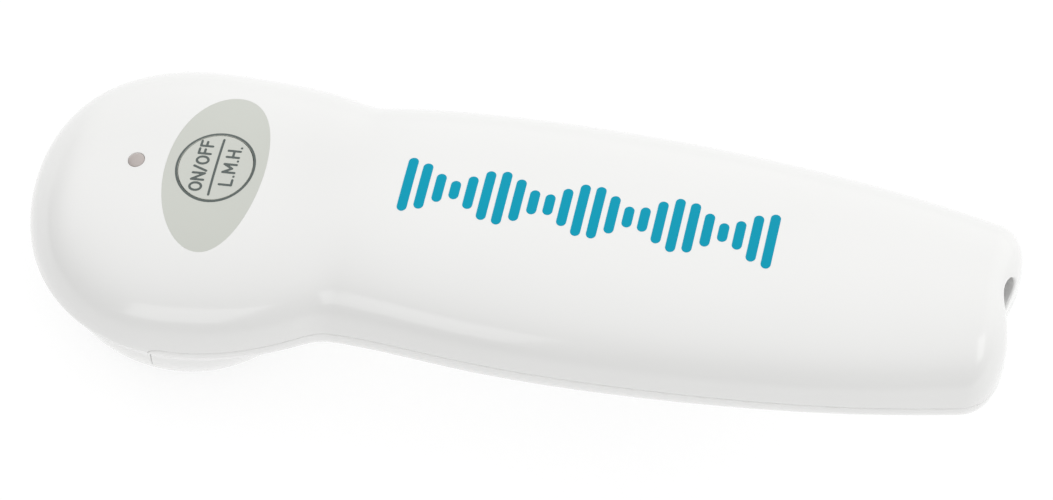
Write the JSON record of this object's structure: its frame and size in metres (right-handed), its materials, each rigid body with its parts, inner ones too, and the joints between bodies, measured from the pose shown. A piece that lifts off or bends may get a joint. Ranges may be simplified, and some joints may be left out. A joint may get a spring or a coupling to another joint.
{
  "type": "ultrasound therapy device",
  "caption": "Hand-held ultrasound therapy device: a round metal-faced treatment head on a tapered white handle, with an oval key panel, a small lamp and a power inlet in the end.",
  "frame": {"origin": "centre of the flat treatment face", "axes": "-Z out of the treatment face, +X from the head along the handle to its end; the device is symmetric outside about the XZ plane"},
  "size_m": [0.1985, 0.0644, 0.0689],
  "materials": {
    "white_shell": "glossy injection-moulded ABS, off-white",
    "key_grey": "satin grey overlay film and key",
    "label": "blank silver-grey film label",
    "lamp": "diffused pinkish-grey lamp, unlit",
    "treatment_metal": "turned and polished aluminium",
    "seal_rubber": "silicone seal ring",
    "piezo_ceramic": "silvered piezo ceramic",
    "contact_brass": "sprung brass contact",
    "pale_plastic": "natural nylon",
    "black_plastic": "black moulded plastic",
    "circuit_board": "green solder-masked board",
    "steel": "plated steel",
    "heat_sink_metal": "extruded aluminium",
    "capacitor_sleeve": "dark blue sleeve",
    "winding": "enamelled copper winding on a core",
    "wire_red": "insulated lead",
    "wire_black": "insulated lead",
    "wire_grey": "flat grey cable"
  },
  "bodies": {
    "case": {"upper_shell": "white_shell", "lower_shell": "white_shell", "rating_label": "label", "key_overlay": "key_grey", "tact_switch": "black_plastic", "switch_board": "circuit_board", "panel_screw_left": "steel", "panel_screw_right": "steel", "status_lamp": "lamp", "lamp_spacer": "black_plastic", "lamp_lead_near": "steel", "lamp_lead_far": "steel", "treatment_head": "treatment_metal", "head_seal": "seal_rubber", "head_nut": "pale_plastic", "piezo_disc": "piezo_ceramic", "contact_ring": "contact_brass", "backing_cap": "pale_plastic", "main_board": "circuit_board", "board_screw_front": "steel", "board_screw_rear": "steel", "transformer": "winding", "power_transistor": "black_plastic", "heat_sink": "heat_sink_metal", "bulk_capacitor": "capacitor_sleeve", "filter_capacitor": "capacitor_sleeve", "controller_chip": "black_plastic", "crystal": "steel", "output_connector": "pale_plastic", "panel_connector": "pale_plastic", "case_screw_left": "steel", "case_screw_right": "steel", "case_screw_rear": "steel", "dc_jack": "black_plastic", "jack_pin": "steel", "transducer_lead_live": "wire_red", "transducer_lead_ground": "wire_black", "panel_cable": "wire_grey", "jack_lead_positive": "wire_red", "jack_lead_negative": "wire_black"},
    "key": {"power_key": "key_grey"},
    "plunger": {"switch_plunger": "black_plastic"}
  },
  "joints": [
    {"name": "key_press", "type": "slide", "parent": "case", "child": "key", "axis": [0.2317, 0, -0.9728], "range_m": [0, 0.0005], "stiffness_N_per_m": 800},
    {"name": "plunger_press", "type": "slide", "parent": "case", "child": "plunger", "axis": [0.2317, 0, -0.9728], "range_m": [0, 0.0005]}
  ],
  "couplings": [
    {"joint": "plunger_press", "follows": "key_press", "ratio": 1}
  ]
}
